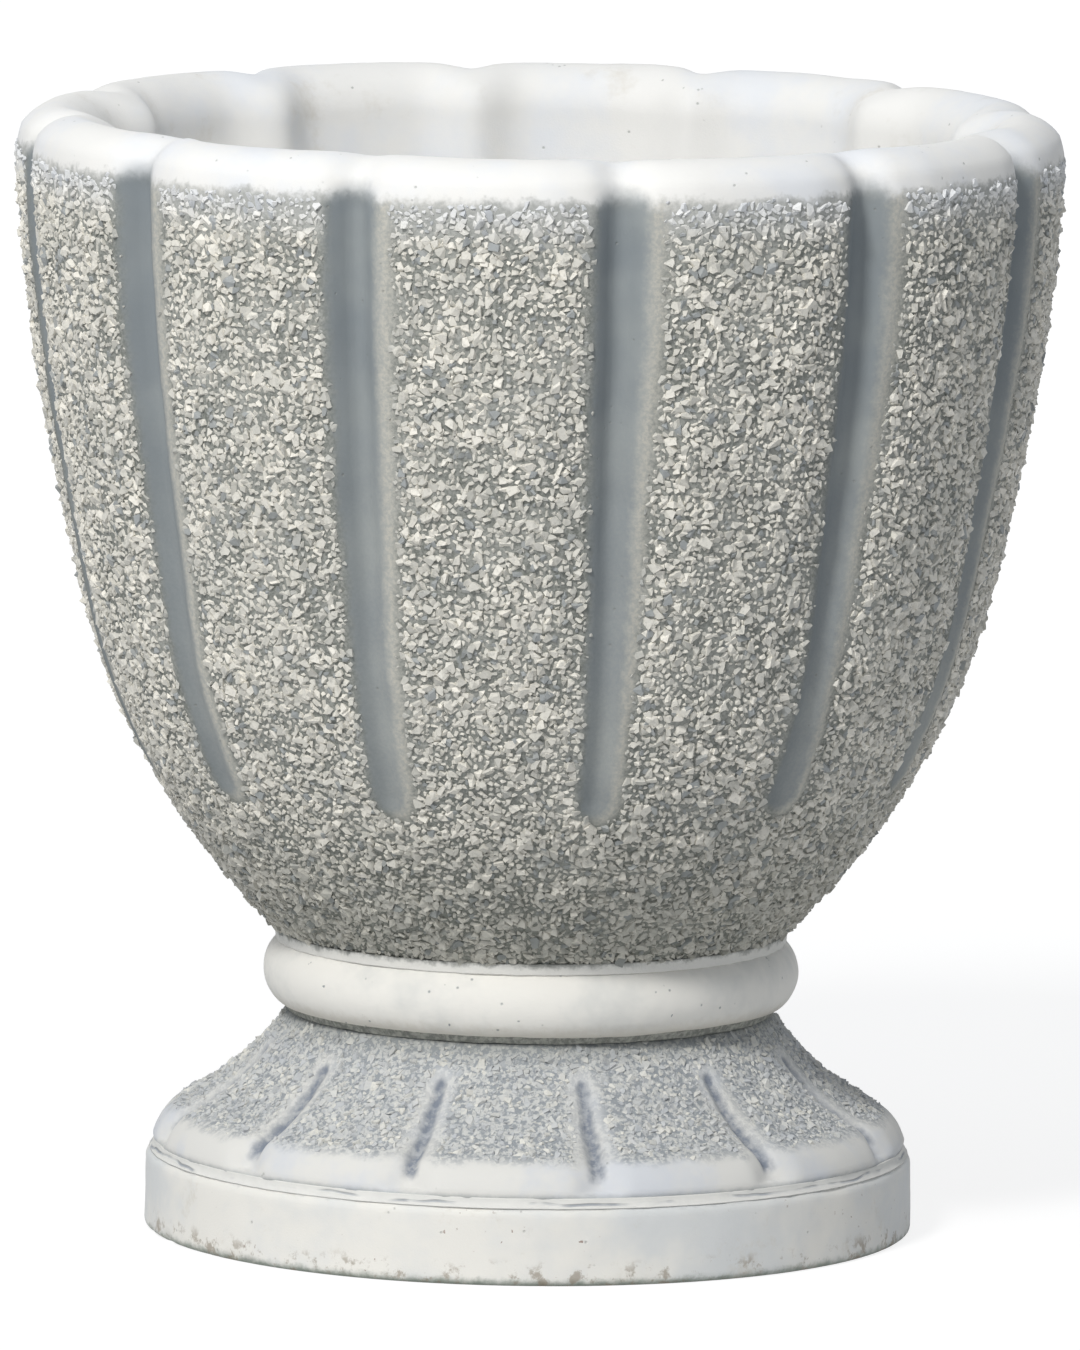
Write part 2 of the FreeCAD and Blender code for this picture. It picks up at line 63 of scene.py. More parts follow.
MM = 0.001
LOBES = 12
PITCH = 2 * math.pi / LOBES
FOOT_TURN = math.radians(2.0)  # the foot was set down a little round from the bowl


def height_of(node):
    low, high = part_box(node)
    return low.z, high.z


PLINTH_LOW, PLINTH_TOP = height_of("plinth")
FOOT_LOW, FOOT_TOP = height_of("foot")
COLLAR_LOW, COLLAR_TOP = height_of("collar")
BOWL_LOW, BOWL_TOP = height_of("bowl")
DRAIN_HOLE = 21.3 * MM

# Where the washed faces of the bowl and of the foot end in plain cement
BOWL_WASH_TOP = 0.543
FOOT_WASH_LOW = 0.058
FOOT_WASH_TOP = 0.109

# Heights between which a form or a finish comes in or goes out
LOBE_SWELL = (0.23, 0.40)
INNER_RIDGE = (0.28, 0.43)
RIM_PINCH = (0.508, 0.553)
RIM_DIP = (0.549, 0.560)
CHIPS_WHITER = (0.518, 0.545)
FLUTE_FADES = (0.536, 0.557)
FOOT_FLUTE_GREY = (0.044, 0.052)
FOOT_LIP_PINCH = (0.050, 0.064)
FOOT_LOBE_SWELL = (0.075, 0.096)

# How wide the lumps of a wavering edge are, and how far it wanders in all
BOWL_WAVER = (45 * MM, 5 * MM)
FOOT_WAVER = (30 * MM, 3 * MM)
WASH_RAGGED = (14 * MM, 9 * MM)

CHIP_PATTERNS = 10
PATTERN_SEED = 41
CHIPS_TRIED = 400000  # places tried on a square metre, before the ones too close are dropped


# ---- Sums on sockets ----


class Field:
    """A number or a vector at every place, that plain sums can be written with."""

    def __init__(self, graph, socket):
        self.graph = graph
        self.socket = socket

    def by(self, operation, *others):
        return self.graph.math(operation, self, *others)

    def __add__(self, other):
        return self.by("ADD", other)

    __radd__ = __add__

    def __sub__(self, other):
        return self.by("SUBTRACT", other)

    def __rsub__(self, other):
        return self.graph.math("SUBTRACT", other, self)

    def __mul__(self, other):
        return self.by("MULTIPLY", other)

    __rmul__ = __mul__

    def __truediv__(self, other):
        return self.by("DIVIDE", other)

    def __rtruediv__(self, other):
        return self.graph.math("DIVIDE", other, self)

    def __pow__(self, other):
        return self.by("POWER", other)

    def __abs__(self):
        return self.by("ABSOLUTE")

    def other(self, name):
        """Another output of the same node."""
        return Field(self.graph, self.socket.node.outputs[name])

    def split(self):
        parts = self.graph.add("ShaderNodeSeparateXYZ", inputs=[self])
        return parts, parts.other("Y"), parts.other("Z")


class Graph:
    """A node tree, for a material or for shaping a mesh, that is written from left to right."""

    def __init__(self, tree):
        self.tree = tree

    def add(self, kind, settings=None, inputs=(), output=0):
        node = self.tree.nodes.new(kind)
        for name, value in (settings or {}).items():
            setattr(node, name, value)
        pairs = inputs.items() if isinstance(inputs, dict) else enumerate(inputs)
        for name, value in pairs:
            self.feed(node.inputs[name], value)
        return Field(self, node.outputs[output]) if len(node.outputs) else None

    def feed(self, socket, value):
        if isinstance(value, Field):
            self.tree.links.new(value.socket, socket)
        else:
            socket.default_value = value

    def math(self, operation, *values):
        vectors = [v for v in values if isinstance(v, Field) and v.socket.type == "VECTOR"]
        if not vectors:
            return self.add("ShaderNodeMath", {"operation": operation}, values)
        if operation == "MULTIPLY" and len(vectors) < len(values):
            amount = next(v for v in values if v is not vectors[0])
            inputs = {"Vector": vectors[0], "Scale": amount}
            return self.add("ShaderNodeVectorMath", {"operation": "SCALE"}, inputs)
        result = self.add("ShaderNodeVectorMath", {"operation": operation}, values)
        is_number = operation in ("DOT_PRODUCT", "LENGTH", "DISTANCE")
        return result.other("Value") if is_number else result

    def join(self, x, y, z):
        return self.add("ShaderNodeCombineXYZ", inputs=[x, y, z])

    def most(self, first, second):
        return self.math("MAXIMUM", first, second)

    def smooth(self, value, low, high):
        """Runs from 0 at low to 1 at high."""
        settings = {"interpolation_type": "SMOOTHSTEP"}
        return self.add("ShaderNodeMapRange", settings, {0: value, 1: low, 2: high})

    def noise(self, place, grain, detail=3.0, rough=0.5, shift=0.0):
        """Cloudy noise from 0 to 1 whose lumps are about a grain wide."""
        moved = place + (shift, shift * 2, -shift) if shift else place
        inputs = {"Vector": moved, "Scale": 1 / grain, "Detail": detail, "Roughness": rough}
        return self.add("ShaderNodeTexNoise", inputs=inputs)

    def sway(self, place, grain, reach, detail=3.0, rough=0.5, shift=0.0):
        """The same noise as a length to both sides of 0, with a whole span of reach."""
        return (self.noise(place, grain, detail, rough, shift) - 0.5) * reach

    def cells(self, place, grain):
        return self.add("ShaderNodeTexVoronoi", inputs={"Vector": place, "Scale": 1 / grain})

    def blend(self, share, first, second):
        """A colour between two others."""
        settings = {"data_type": "RGBA", "clamp_factor": True}
        return self.add("ShaderNodeMix", settings, {0: share, 6: first, 7: second}, output=2)

    def between(self, share, first, second):
        """A number between two others."""
        return self.add("ShaderNodeMix", {"data_type": "FLOAT"}, {0: share, 2: first, 3: second})


def shade(red, green, blue):
    """A colour from the three numbers that a paint chart gives, 0 to 255."""
    def linear(part):
        part /= 255
        return part / 12.92 if part <= 0.04045 else ((part + 0.055) / 1.055) ** 2.4

    return (linear(red), linear(green), linear(blue), 1.0)


# ---- The lobes and flutes, as sums on a place ----


def from_axis(place):
    x, y, _ = place.split()
    return (x * x + y * y).by("SQRT")


def outward(graph, place):
    """The level direction away from the axis."""
    x, y, _ = place.split()
    return graph.math("NORMALIZE", graph.join(x, y, 0.0))


def left_of_flute(graph, side):
    """0 to the right of a flute's middle and 1 to its left."""
    return graph.smooth(side, 6 * MM, -6 * MM)


class Flutes:
    """The ring of flutes in a casting. Sizes are in metres and heights above the floor."""

    def __init__(self, low, high, narrow, wide, shallow, deep, turn=0.0):
        self.low, self.high = low, high
        self.narrow, self.wide = narrow, wide
        self.shallow, self.deep = shallow, deep
        self.turn = turn

    def side(self, graph, place):
        """How far a place is from the middle of the nearest flute, measured round the urn."""
        x, y, _ = place.split()
        part = graph.math("ARCTAN2", y, x) / PITCH + (0.5 - self.turn / PITCH)
        return (part.by("FRACT") - 0.5) * PITCH * from_axis(place)

    def away(self, graph, place, side):
        """0 along the middle of a flute and 1 at its edge, round its ends too."""
        _, _, z = place.split()
        along = graph.smooth(z, self.low, self.high)
        half = graph.between(along, self.narrow, self.wide)
        past = graph.most(z - self.high, 0) + graph.most(self.low - z, 0)
        return (side * side + past * past).by("SQRT") / half, along

    def depth(self, graph, place, side):
        away, along = self.away(graph, place, side)
        return graph.between(along, self.shallow, self.deep) * (1 - graph.smooth(away, 0.1, 1.0))


BOWL_FLUTES = Flutes(0.241, 0.5375, 9 * MM, 14.5 * MM, 3 * MM, 10.5 * MM)
FOOT_FLUTES = Flutes(0.0535, 0.090, 7.5 * MM, 5.5 * MM, 5 * MM, 2.5 * MM, FOOT_TURN)


# ---- Modelling helpers ----


def start_fresh():
    """Leaves edit mode and selects nothing, so that the next step acts on its own piece."""
    if bpy.context.object and bpy.context.object.mode != "OBJECT":
        bpy.ops.object.mode_set(mode="OBJECT")
    bpy.ops.object.select_all(action="DESELECT")


def arc(start, end, radius, spacing, side=1):
    """Points after start, up to end, on an arc whose centre lies on the left (1) of the way
    from start to end, or on the right (-1)."""
    half = math.dist(start, end) / 2
    back = math.sqrt(max(radius * radius - half * half, 0.0)) * side
    across = ((start[1] - end[1]) / (2 * half), (end[0] - start[0]) / (2 * half))
    centre = [(a + b) / 2 + back * n for a, b, n in zip(start, end, across)]
    begin = math.atan2(start[1] - centre[1], start[0] - centre[0])
    turn = 2 * math.asin(half / radius) * side
    steps = max(2, round(abs(turn) * radius / spacing))
    angles = [begin + turn * i / steps for i in range(1, steps + 1)]
    return [(centre[0] + radius * math.cos(a), centre[1] + radius * math.sin(a)) for a in angles]


def line(start, end, spacing):
    steps = max(1, round(math.dist(start, end) / spacing))
    parts = [i / steps for i in range(1, steps + 1)]
    return [tuple(a + (b - a) * part for a, b in zip(start, end)) for part in parts]


def turn_outline(name, outline, steps):
    """Draws an outline of (radius, height) points edge by edge and turns it round the axis."""
    start_fresh()
    bpy.ops.mesh.primitive_plane_add(size=MM, location=(outline[0][0], 0, outline[0][1]))
    piece = bpy.context.object
    piece.name = name
    bpy.ops.object.mode_set(mode="EDIT")
    bpy.ops.mesh.merge(type="CENTER")
    for before, after in zip(outline, outline[1:]):
        move = (after[0] - before[0], 0, after[1] - before[1])
        bpy.ops.mesh.extrude_vertices_move(TRANSFORM_OT_translate={"value": move})
    bpy.ops.mesh.select_all(action="SELECT")
    bpy.ops.mesh.spin(steps=steps, angle=2 * math.pi, center=(0, 0, 0), axis=(0, 0, 1))
    bpy.ops.mesh.select_all(action="SELECT")
    bpy.ops.mesh.remove_doubles(threshold=0.01 * MM)
    bpy.ops.mesh.normals_make_consistent(inside=False)
    bpy.ops.object.mode_set(mode="OBJECT")
    bpy.ops.object.transform_apply(location=True, rotation=True, scale=True)
    bpy.ops.object.shade_smooth()
    return piece


def shaping_group(name, build, extra=()):
    """A geometry node group. build gets its graph, its mesh and any extra whole numbers."""
    tree = bpy.data.node_groups.new(name, "GeometryNodeTree")
    tree.interface.new_socket("Mesh", in_out="INPUT", socket_type="NodeSocketGeometry")
    for word in extra:
        tree.interface.new_socket(word, in_out="INPUT", socket_type="NodeSocketInt")
    tree.interface.new_socket("Mesh", in_out="OUTPUT", socket_type="NodeSocketGeometry")
    graph = Graph(tree)
    entry = graph.add("NodeGroupInput")
    result = build(graph, entry, *[entry.other(word) for word in extra])
    graph.add("NodeGroupOutput", inputs=[result])
    return tree


def run_group(piece, tree, **values):
    """Puts a piece through a node group for good."""
    start_fresh()
    piece.select_set(True)
    bpy.context.view_layer.objects.active = piece
    modifier = piece.modifiers.new(tree.name, "NODES")
    modifier.node_group = tree
    for item in tree.interface.items_tree:
        if item.in_out == "INPUT" and item.name in values:
            modifier[item.identifier] = values[item.name]
    bpy.ops.object.modifier_apply(modifier=modifier.name)


def reshape(piece, build):
    """Moves the points of a piece by a sum on their places, which may come with marks that
    the piece's material reads."""
    def whole(graph, mesh):
        place = graph.add("GeometryNodeInputPosition")
        normal = graph.add("GeometryNodeInputNormal")
        offset, marks = build(graph, place, normal), {}
        if isinstance(offset, tuple):
            offset, marks = offset
        mesh = graph.add("GeometryNodeSetPosition", inputs={"Geometry": mesh, "Offset": offset})
        for word, value in marks.items():
            mesh = keep_mark(graph, mesh, word, value, "POINT")
        return mesh

    tree = shaping_group(f"{piece.name}_shape", whole)
    run_group(piece, tree)
    bpy.data.node_groups.remove(tree)


def keep_mark(graph, mesh, word, value, domain, kind="FLOAT"):
    settings = {"data_type": kind, "domain": domain}
    inputs = {"Geometry": mesh, "Name": word, "Value": value}
    return graph.add("GeometryNodeStoreNamedAttribute", settings, inputs)


def finish_piece(piece, material, slot, *nodes):
    """Gives a piece its material and its body, and hides what it stands for. The slot is not used."""
    piece.data.materials.clear()
    piece.data.materials.append(material)
    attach(piece, "root")
    if nodes:
        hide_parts(*nodes)


# ---- Shapes of the castings ----


def make_bowl_casting():
    """The bowl's wall, rim, inside, floor and drain hole, with lobes pressed into it."""
    heel = (127.0 * MM, BOWL_LOW)
    belly = (228.6 * MM, BOWL_LOW + 173 * MM)
    lip = (262.0 * MM, BOWL_LOW + 388 * MM)
    shoulder = (259.5 * MM, BOWL_LOW + 402 * MM)
    crest = (239.0 * MM, BOWL_TOP)
    inner_lip = (218.5 * MM, BOWL_LOW + 386 * MM)
    inner_belly = (186.0 * MM, BOWL_LOW + 190 * MM)
    inner_floor = (96.0 * MM, BOWL_LOW + 40 * MM)
    hole_top = (DRAIN_HOLE, BOWL_LOW + 40 * MM)
    hole_low = (DRAIN_HOLE, BOWL_LOW)
    outline = [hole_low]
    outline += line(hole_low, heel, 30 * MM)
    outline += arc(heel, belly, 360 * MM, 4 * MM)
    outline += arc(belly, lip, 1168 * MM, 4 * MM)
    outline += arc(lip, shoulder, 45 * MM, 3 * MM)
    outline += arc(shoulder, crest, 23 * MM, 2.6 * MM)
    outline += arc(crest, inner_lip, 25 * MM, 3 * MM)
    outline += arc(inner_lip, inner_belly, 1100 * MM, 8 * MM, side=-1)
    outline += arc(inner_belly, inner_floor, 330 * MM, 10 * MM, side=-1)
    outline += line(inner_floor, hole_top, 25 * MM)
    outline += line(hole_top, hole_low, 40 * MM)
    casting = turn_outline("bowl_casting", outline, 480)
    reshape(casting, shape_bowl)
    return casting


def shape_bowl(graph, place, normal):
    _, _, z = place.split()
    radial = outward(graph, place)
    facing = graph.math("DOT_PRODUCT", normal, radial)
    outside = graph.smooth(facing, -0.35, 0.35)
    waver = graph.sway(place, *BOWL_WAVER)
    side = BOWL_FLUTES.side(graph, place)
    apart = abs(side)
    flute = BOWL_FLUTES.depth(graph, place, side + waver)
    # The lobes bulge between the flutes, and the rim is pinched in over each flute
    shoulder = (1 - graph.smooth(apart, 6 * MM, 40 * MM)) * graph.smooth(z, *LOBE_SWELL) * 4.5 * MM
    valley = (1 - graph.smooth(apart, 0, 26 * MM)) ** 2.2
    pinch = valley * graph.smooth(z, *RIM_PINCH) * 9.5 * MM
    pressed = shoulder + graph.math("SMOOTH_MAX", flute, pinch, 3 * MM)
    # Inside, the lobes are shallow hollows that meet in ridges behind the flutes
    ridge = (1 - graph.smooth(apart, 0, 46 * MM)) ** 2.6 * graph.smooth(z, *INNER_RIDGE) * 12 * MM
    dip = valley * graph.smooth(z, *RIM_DIP) * 2 * MM
    lumps = graph.sway(place, 110 * MM, 3 * MM, 2) + graph.sway(place, 22 * MM, 0.9 * MM, 2)
    away, _ = BOWL_FLUTES.away(graph, place, side + waver)
    ragged = z + graph.sway(place, *WASH_RAGGED)
    wash_end = graph.smooth(ragged, BOWL_WASH_TOP - 6 * MM, BOWL_WASH_TOP)
    washed = outside * graph.smooth(away, 1.1, 1.6) * (1 - wash_end)
    standing = graph.smooth(z, BOWL_LOW + 2 * MM, BOWL_LOW + 20 * MM)
    grit = graph.sway(place, 5 * MM, 1.2 * MM, 4, 0.6)
    inwards = (outside * pressed + (1 - outside) * ridge) * standing
    shift = radial * (0 - inwards) + normal * (lumps * standing - washed * (0.9 * MM + grit))
    return shift - graph.join(0.0, 0.0, dip), {"outside": outside}


def make_foot_casting():
    """The flared foot, with its flutes, its slab under the collar and its hollow below."""
    land = (187.5 * MM, FOOT_LOW)
    brow = (188.6 * MM, FOOT_LOW + 3.5 * MM)
    shoulder = (171.5 * MM, FOOT_LOW + 21.5 * MM)
    neck = (121.3 * MM, FOOT_TOP)
    slab_under = FOOT_TOP - 32 * MM
    hole_top = (DRAIN_HOLE, FOOT_TOP)
    hole_low = (DRAIN_HOLE, slab_under)
    hollow = (92 * MM, slab_under)
    mouth = (150 * MM, FOOT_LOW)
    outline = [hole_top]
    outline += line(hole_top, hole_low, 40 * MM)
    outline += line(hole_low, hollow, 30 * MM)
    outline += line(hollow, mouth, 20 * MM)
    outline += line(mouth, land, 10 * MM)
    outline += line(land, brow, 2 * MM)
    outline += arc(brow, shoulder, 26 * MM, 2.2 * MM)
    outline += arc(shoulder, neck, 148 * MM, 2.8 * MM, side=-1)
    outline += line(neck, hole_top, 25 * MM)
    casting = turn_outline("foot_casting", outline, 480)
    reshape(casting, shape_foot)
    return casting


def shape_foot(graph, place, normal):
    _, _, z = place.split()
    radial = outward(graph, place)
    facing = graph.math("DOT_PRODUCT", normal, radial)
    outside = graph.smooth(facing, 0.05, 0.3)
    waver = graph.sway(place, *FOOT_WAVER)
    side = FOOT_FLUTES.side(graph, place)
    flute = FOOT_FLUTES.depth(graph, place, side + waver)
    valley = (1 - graph.smooth(abs(side), 0, 20 * MM)) ** 1.5
    pinch = valley * (1 - graph.smooth(z, *FOOT_LIP_PINCH)) * 4 * MM
    swell = 1 - graph.smooth(z, *FOOT_LOBE_SWELL)
    shoulder = (1 - graph.smooth(abs(side), 3 * MM, 18 * MM)) * swell * 1.6 * MM
    pressed = shoulder + graph.math("SMOOTH_MAX", flute, pinch, 2 * MM)
    lumps = graph.sway(place, 60 * MM, 2 * MM, 2) + graph.sway(place, 12 * MM, 0.7 * MM, 2)
    standing = graph.smooth(z, FOOT_LOW + 0.3 * MM, FOOT_LOW + 4 * MM)
    return normal * (outside * standing * (lumps - pressed))


def make_collar_casting():
    """The round bead, slightly uneven, with flat seats."""
    reach = (COLLAR_TOP - COLLAR_LOW) / 2
    bead = 20 * MM
    seat = 134 * MM - bead + math.sqrt(bead * bead - reach * reach)
    under, over = (seat, COLLAR_LOW), (seat, COLLAR_TOP)
    hole_low, hole_top = (DRAIN_HOLE, COLLAR_LOW), (DRAIN_HOLE, COLLAR_TOP)
    belt = (134 * MM, COLLAR_LOW + reach)
    outline = [hole_low]
    outline += line(hole_low, under, 25 * MM)
    outline += arc(under, belt, bead, 2 * MM)
    outline += arc(belt, over, bead, 2 * MM)
    outline += line(over, hole_top, 25 * MM)
    outline += line(hole_top, hole_low, 16 * MM)
    casting = turn_outline("collar_casting", outline, 360)
    reshape(casting, shape_collar)
    return casting


def shape_collar(graph, place, normal):
    edge = graph.smooth(from_axis(place), 118 * MM, 126 * MM)
    lumps = graph.sway(place, 70 * MM, 2.2 * MM, 2) + graph.sway(place, 15 * MM, 0.8 * MM, 3)
    return normal * (lumps * edge)


def make_plinth_casting():
    """The plinth ring, hand trowelled, with worn edges."""
    outer, inner, edge = 192 * MM, 150 * MM, 3 * MM
    low_in, low_out = (inner, PLINTH_LOW), (outer - edge, PLINTH_LOW)
    side_low, side_top = (outer, PLINTH_LOW + edge), (outer - 0.6 * MM, PLINTH_TOP - 2 * edge)
    top_out, top_in = (outer - 2 * edge, PLINTH_TOP), (inner, PLINTH_TOP)
    outline = [low_in]
    outline += line(low_in, low_out, 12 * MM)
    outline += arc(low_out, side_low, edge * 1.01, 1.2 * MM)
    outline += line(side_low, side_top, 2.6 * MM)
    outline += arc(side_top, top_out, 2 * edge * 1.05, 1.5 * MM)
    outline += line(top_out, top_in, 6 * MM)
    outline += line(top_in, low_in, 20 * MM)
    casting = turn_outline("plinth_casting", outline, 480)
    reshape(casting, shape_plinth)
    return casting


def shape_plinth(graph, place, normal):
    _, _, z = place.split()
    outside = graph.smooth(from_axis(place), 176 * MM, 186 * MM)
    lumps = graph.sway(place, 75 * MM, 2.4 * MM, 2) + graph.sway(place, 14 * MM, 0.8 * MM, 3)
    chipped = graph.smooth(graph.noise(place, 16 * MM, 4, 0.65), 0.56, 0.70)
    bottom = 1 - graph.smooth(z, PLINTH_LOW, PLINTH_LOW + 7 * MM)
    shift = normal * (outside * (lumps - chipped * bottom * 2.2 * MM))
    # The floor side stays flat, so only what lies level moves there
    sx, sy, sz = shift.split()
    held = graph.smooth(z, PLINTH_LOW + 0.5 * MM, PLINTH_LOW + 3 * MM)
    return graph.join(sx, sy, sz * held)


def make_bed(name, level, under, over):
    """A bed of mortar that was wiped off flush with the castings above and below it."""
    low, high = level
    low_in, high_in = (DRAIN_HOLE, low), (DRAIN_HOLE, high)
    low_out, high_out = (under, low), (over, high)
    outline = [low_in]
    outline += line(low_in, low_out, 20 * MM)
    outline += line(low_out, high_out, 0.6 * MM)
    outline += line(high_out, high_in, 20 * MM)
    outline += line(high_in, low_in, 8 * MM)
    bed = turn_outline(name, outline, 360)
    reshape(bed, shape_bed)
    return bed


def make_slurry_bed():
    """The plinth's bed, whose white slurry was wiped along the seam as a small fillet."""
    low, high = height_of("plinth_mortar")
    inner = 151 * MM
    low_in, high_in = (inner, low), (inner, high)
    toe, heel = (190.2 * MM, low - 1.6 * MM), (187.9 * MM, high + 1.4 * MM)
    under, over = (186.5 * MM, low - 0.4 * MM), (186.2 * MM, high + 1.2 * MM)
    outline = [low_in]
    outline += line(low_in, under, 6 * MM)
    outline += line(under, toe, 1.5 * MM)
    outline += arc(toe, heel, 7 * MM, 0.6 * MM, side=-1)
    outline += line(heel, over, 1.5 * MM)
    outline += line(over, high_in, 6 * MM)
    outline += line(high_in, low_in, 2 * MM)
    bed = turn_outline("plinth_slurry_bed", outline, 480)
    reshape(bed, shape_slurry)
    return bed


def shape_slurry(graph, place, normal):
    edge = graph.smooth(from_axis(place), 184 * MM, 186.8 * MM)
    ragged = graph.sway(place, 9 * MM, 1.2 * MM, 3) + graph.sway(place, 60 * MM, 1.6 * MM, 2)
    return outward(graph, place) * (ragged * edge)


def shape_bed(graph, place, normal):
    edge = graph.smooth(from_axis(place), 112 * MM, 119 * MM)
    lumps = graph.sway(place, 8 * MM, 1.6 * MM, 4, 0.6)
    return normal * (lumps * edge)


# ---- Chips of marble ----


def cut_chip(number, shuffle):
    """A broken bit of marble: a small block with its corners struck off."""
    start_fresh()
    bpy.ops.mesh.primitive_cube_add(size=1)
    chip = bpy.context.object
    chip.name = f"chip_pattern_{number}"
    bpy.ops.object.mode_set(mode="EDIT")
    for _ in range(5):
        facing = Vector([shuffle.gauss(0, 1) for _ in range(3)]).normalized()
        bpy.ops.mesh.select_all(action="SELECT")
        bpy.ops.mesh.bisect(
            plane_co=facing * shuffle.uniform(0.22, 0.44),
            plane_no=facing,
            use_fill=True,
            clear_outer=True,
        )
    bpy.ops.object.mode_set(mode="OBJECT")
    return chip


def chip_patterns():
    """The patterns that chips are copied from, in a collection of their own."""
    shuffle = random.Random(PATTERN_SEED)
    shelf = bpy.data.collections.new("chip_patterns")
    bpy.context.scene.collection.children.link(shelf)
    for number in range(CHIP_PATTERNS):
        chip = cut_chip(number, shuffle)
        for holder in list(chip.users_collection):
            holder.objects.unlink(chip)
        shelf.objects.link(chip)
    return shelf


class Wash:
    """Where chips lie on a casting, how close, how large and how far out."""

    def __init__(self, casting, flutes, low, high, spacing, small, large, flat, sunk):
        self.casting, self.flutes = casting, flutes
        self.low, self.high = low, high
        self.spacing, self.small, self.large = spacing, small, large
        self.flat, self.sunk = flat, sunk


def scatter_group(wash, shelf):
    """The node group that fills one lobe of a casting with chips."""

    def build(graph, _, lobe):
        shell = graph.add(
            "GeometryNodeObjectInfo",
            {"transform_space": "ORIGINAL"},
            {"Object": wash.casting},
        ).other("Geometry")
        place = graph.add("GeometryNodeInputPosition")
        normal = graph.add("GeometryNodeInputNormal")
        x, y, z = place.split()
        turned = graph.math("ARCTAN2", y, x) / PITCH - wash.flutes.turn / PITCH
        in_lobe = graph.math("WRAP", turned - lobe, LOBES, 0)
        facing = graph.math("DOT_PRODUCT", normal, outward(graph, place))
        wanted = (
            graph.math("LESS_THAN", in_lobe, 1)
            * graph.math("GREATER_THAN", facing, 0.1)
            * graph.math("GREATER_THAN", z, wash.low - 8 * MM)
            * graph.math("LESS_THAN", z, wash.high + 8 * MM)
        )
        face = graph.add("GeometryNodeSeparateGeometry", {"domain": "FACE"}, [shell, wanted])
        points = graph.add(
            "GeometryNodeDistributePointsOnFaces",
            {"distribute_method": "POISSON"},
            {"Mesh": face, "Distance Min": wash.spacing, "Density Max": CHIPS_TRIED, "Seed": lobe},
        )
        upright = points.other("Rotation")
        side = wash.flutes.side(graph, place)
        waver = graph.sway(place, *BOWL_WAVER)
        away, _ = wash.flutes.away(graph, place, side + waver)
        ragged = graph.sway(place, *WASH_RAGGED)
        # Chips come closer to a flute on its left than on its right
        on_left = left_of_flute(graph, side)
        close, clear = graph.between(on_left, 1.2, 0.8), graph.between(on_left, 1.9, 1.5)
        clouded = graph.smooth(graph.noise(place, 30 * MM, 3, 0.6, 7.7), 0.36, 0.56)
        room = (
            graph.smooth(away, close, clear)
            * graph.between(clouded, 0.8, 1.0)
            * (1 - graph.smooth(z + ragged, wash.high - 5 * MM, wash.high + 1 * MM))
            * graph.smooth(z + ragged * 0.5, wash.low, wash.low + 6 * MM)
        )
        chance = random_number(graph, 0.0, 1.0, 3)
        thin = graph.math("LESS_THAN", room * 1.5, chance)
        points = graph.add("GeometryNodeDeleteGeometry", {"domain": "POINT"}, [points, thin])
        spread = random_number(graph, 0.0, 1.0, 4) ** 2.2
        size = graph.between(spread, wash.small, wash.large) * graph.between(room, 0.55, 1.0)
        lean = graph.add(
            "FunctionNodeRandomValue",
            {"data_type": "FLOAT_VECTOR"},
            {0: (-0.5, -0.5, -math.pi), 1: (0.5, 0.5, math.pi), 8: 5},
        )
        lean = graph.add("FunctionNodeEulerToRotation", inputs=[lean])
        turning = graph.add(
            "FunctionNodeRotateRotation", {"rotation_space": "LOCAL"}, [upright, lean]
        )
        slim = graph.join(
            size,
            size * random_number(graph, 0.55, 1.0, 6),
            size * random_number(graph, wash.flat * 0.7, wash.flat * 1.2, 7),
        )
        patterns = graph.add(
            "GeometryNodeCollectionInfo",
            inputs={"Collection": shelf, "Separate Children": True, "Reset Children": True},
        )
        which = graph.add(
            "FunctionNodeRandomValue",
            {"data_type": "INT"},
            {4: 0, 5: CHIP_PATTERNS - 1, 8: 8},
            output=2,
        )
        sunk = graph.add(
            "GeometryNodeSetPosition",
            inputs={"Geometry": points, "Offset": outward(graph, place) * (size * (0 - wash.sunk))},
        )
        chips = graph.add(
            "GeometryNodeInstanceOnPoints",
            inputs={
                "Points": sunk,
                "Instance": patterns,
                "Pick Instance": True,
                "Instance Index": which,
                "Rotation": turning,
                "Scale": slim,
            },
        )
        chips = keep_mark(graph, chips, "tone", random_number(graph, 0.0, 1.0, 9), "INSTANCE")
        chips = keep_mark(graph, chips, "room", room, "INSTANCE")
        chips = graph.add("GeometryNodeRealizeInstances", inputs=[chips])
        # Laid out flat by the turn round the axis and the height, for the surface's maps
        across = graph.math("WRAP", turned - lobe, LOBES * 0.5, -LOBES * 0.5) * 0.9 + 0.05
        up = (z - (wash.low - 10 * MM)) / (wash.high - wash.low + 20 * MM)
        return keep_mark(graph, chips, "OFBake", graph.join(across, up, 0.0), "CORNER", "FLOAT2")

    return shaping_group("chips_in_lobe", build, extra=["Lobe"])


def random_number(graph, low, high, seed):
    inputs = {2: low, 3: high, "Seed": seed}
    return graph.add("FunctionNodeRandomValue", {"data_type": "FLOAT"}, inputs, output=1)


def scatter_chips(name, wash, shelf, material):
    """Fills each lobe of a casting with chips, a lobe to a piece."""
    tree = scatter_group(wash, shelf)
    for lobe in range(LOBES):
        start_fresh()
        bpy.ops.mesh.primitive_plane_add(size=MM)
        piece = bpy.context.object
        piece.name = f"{name}_{lobe + 1:02d}"
        run_group(piece, tree, Lobe=lobe)
        finish_piece(piece, material, "washed_concrete")
    bpy.data.node_groups.remove(tree)


# ---- Materials ----

